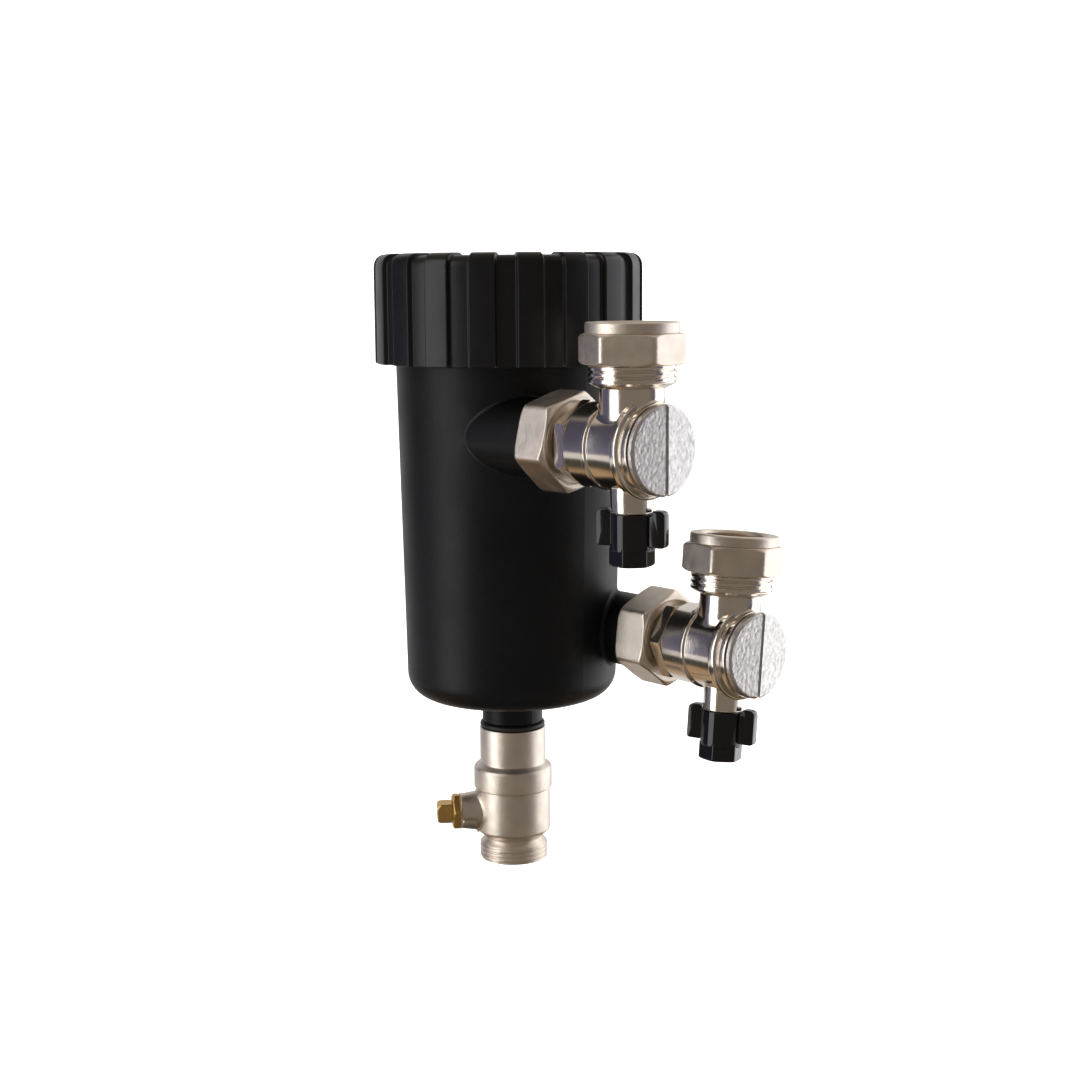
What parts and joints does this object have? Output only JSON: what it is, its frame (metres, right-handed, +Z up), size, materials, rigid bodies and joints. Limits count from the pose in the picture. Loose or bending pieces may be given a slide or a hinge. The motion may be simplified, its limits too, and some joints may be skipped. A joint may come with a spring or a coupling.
{
  "type": "magnetic system filter",
  "caption": "Canister filter with a screw cap, withdrawable magnet rod, drain valve and angled isolating valves for central heating pipes.",
  "frame": {"origin": "centre of the drain outlet's end face, on the canister's axis", "axes": "+Z up the canister's axis from the drain to the cap, +X along the two ports towards the isolating valves"},
  "size_m": [0.1592, 0.1012, 0.2355],
  "materials": {
    "canister_nylon": "fine-grained satin moulded nylon",
    "cap_nylon": "satin moulded nylon",
    "seal_rubber": "smooth rubber",
    "spring_steel": "zinc-plated steel",
    "stainless": "drawn stainless steel",
    "magnet_nickel": "nickel-plated magnet",
    "brass": "machined brass",
    "satin_nickel": "bead-blasted nickel plate",
    "bright_nickel": "turned and nickel-plated brass",
    "plug_nickel": "nickel-plated cast face",
    "ball_chrome": "polished chrome plate",
    "ptfe": "white sealing plastic",
    "fibre": "pressed fibre",
    "gloss_black": "gloss moulded plastic",
    "copper": "soft copper alloy"
  },
  "bodies": {
    "canister": {"canister": "canister_nylon", "drain_body": "satin_nickel", "drain_seats": "ptfe", "drain_seat_retainer": "satin_nickel", "drain_gland_nut": "brass", "drain_socket_seal": "seal_rubber", "drain_spindle_seal": "seal_rubber"},
    "pocket": {"pocket_head": "cap_nylon", "magnet_sleeve": "stainless", "head_seal": "seal_rubber", "bleed_seal": "seal_rubber", "retaining_ring": "spring_steel"},
    "cap": {"cap": "cap_nylon"},
    "magnet_rod": {"magnets": "magnet_nickel", "pole_pieces": "spring_steel", "magnet_core": "spring_steel", "magnet_nut": "spring_steel", "magnet_grip": "cap_nylon"},
    "bleed": {"bleed_screw": "brass"},
    "drain_stem": {"drain_spindle": "brass", "drain_ball": "ball_chrome"},
    "upper_gasket": {"upper_union_gasket": "fibre"},
    "upper_valve": {"upper_valve_body": "bright_nickel", "upper_valve_end_plug": "plug_nickel", "upper_valve_plug_washer": "fibre", "upper_valve_seats": "ptfe", "upper_union_tail": "bright_nickel", "upper_valve_stem_seal": "seal_rubber"},
    "upper_union": {"upper_union_nut": "satin_nickel"},
    "upper_knob": {"upper_valve_knob": "gloss_black", "upper_valve_stem": "brass", "upper_valve_ball": "ball_chrome", "upper_valve_knob_screw": "spring_steel"},
    "upper_olive_ring": {"upper_olive": "copper"},
    "upper_pipe_nut": {"upper_compression_nut": "satin_nickel"},
    "lower_gasket": {"lower_union_gasket": "fibre"},
    "lower_valve": {"lower_valve_body": "bright_nickel", "lower_valve_end_plug": "plug_nickel", "lower_valve_plug_washer": "fibre", "lower_valve_seats": "ptfe", "lower_union_tail": "bright_nickel", "lower_valve_stem_seal": "seal_rubber"},
    "lower_union": {"lower_union_nut": "satin_nickel"},
    "lower_knob": {"lower_valve_knob": "gloss_black", "lower_valve_stem": "brass", "lower_valve_ball": "ball_chrome", "lower_valve_knob_screw": "spring_steel"},
    "lower_olive_ring": {"lower_olive": "copper"},
    "lower_pipe_nut": {"lower_compression_nut": "satin_nickel"}
  },
  "joints": [
    {"name": "cap_lift", "type": "slide", "parent": "canister", "child": "pocket", "axis": [0, 0, 1], "range_m": [0, 0.015]},
    {"name": "cap_turn", "type": "hinge", "parent": "pocket", "child": "cap", "pos_m": [0, 0, 0.21], "axis": [0, 0, 1], "range_deg": [0, 1080]},
    {"name": "magnet_rod_lift", "type": "slide", "parent": "pocket", "child": "magnet_rod", "axis": [0, 0, 1], "range_m": [0, 0.145]},
    {"name": "bleed_turn", "type": "hinge", "parent": "pocket", "child": "bleed", "pos_m": [-0.02039, -0.00742, 0.23], "axis": [0, 0, 1], "range_deg": [0, 360]},
    {"name": "drain_turn", "type": "hinge", "parent": "canister", "child": "drain_stem", "pos_m": [0, 0, 0.019], "axis": [-0.5592, -0.829, 0], "range_deg": [0, 90]},
    {"name": "upper_swivel", "type": "hinge", "parent": "canister", "child": "upper_gasket", "pos_m": [0.058, -0.02406, 0.1699], "axis": [1, 0, 0], "continuous": true},
    {"name": "upper_back_off", "type": "slide", "parent": "upper_gasket", "child": "upper_valve", "axis": [1, 0, 0], "range_m": [0, 0.00726]},
    {"name": "upper_union_turn", "type": "hinge", "parent": "upper_valve", "child": "upper_union", "pos_m": [0.058, -0.02406, 0.1699], "axis": [1, 0, 0], "range_deg": [0, 1441]},
    {"name": "upper_knob_turn", "type": "hinge", "parent": "upper_valve", "child": "upper_knob", "pos_m": [0.0906, -0.02406, 0.1699], "axis": [0, 0, 1], "range_deg": [0, 90]},
    {"name": "upper_olive_lift", "type": "slide", "parent": "upper_valve", "child": "upper_olive_ring", "axis": [0, 0, 1], "range_m": [0, 0.0092]},
    {"name": "upper_pipe_nut_turn", "type": "hinge", "parent": "upper_olive_ring", "child": "upper_pipe_nut", "pos_m": [0.0906, -0.02406, 0.1699], "axis": [0, 0, 1], "range_deg": [0, 1441]},
    {"name": "lower_swivel", "type": "hinge", "parent": "canister", "child": "lower_gasket", "pos_m": [0.058, 0.02406, 0.0937], "axis": [1, 0, 0], "continuous": true},
    {"name": "lower_back_off", "type": "slide", "parent": "lower_gasket", "child": "lower_valve", "axis": [1, 0, 0], "range_m": [0, 0.00726]},
    {"name": "lower_union_turn", "type": "hinge", "parent": "lower_valve", "child": "lower_union", "pos_m": [0.058, 0.02406, 0.0937], "axis": [1, 0, 0], "range_deg": [0, 1441]},
    {"name": "lower_knob_turn", "type": "hinge", "parent": "lower_valve", "child": "lower_knob", "pos_m": [0.0906, 0.02406, 0.0937], "axis": [0, 0.0845, 0.9964], "range_deg": [0, 90]},
    {"name": "lower_olive_lift", "type": "slide", "parent": "lower_valve", "child": "lower_olive_ring", "axis": [0, 0.0845, 0.9964], "range_m": [0, 0.0092]},
    {"name": "lower_pipe_nut_turn", "type": "hinge", "parent": "lower_olive_ring", "child": "lower_pipe_nut", "pos_m": [0.0906, 0.02406, 0.0937], "axis": [0, 0.0845, 0.9964], "range_deg": [0, 1441]}
  ],
  "couplings": [
    {"joint": "cap_turn", "follows": "cap_lift", "rad_per_m": 1256.6},
    {"joint": "upper_union_turn", "follows": "upper_back_off", "rad_per_m": 3463},
    {"joint": "upper_pipe_nut_turn", "follows": "upper_olive_lift", "rad_per_m": 2731.8},
    {"joint": "lower_union_turn", "follows": "lower_back_off", "rad_per_m": 3463},
    {"joint": "lower_pipe_nut_turn", "follows": "lower_olive_lift", "rad_per_m": 2731.8}
  ]
}
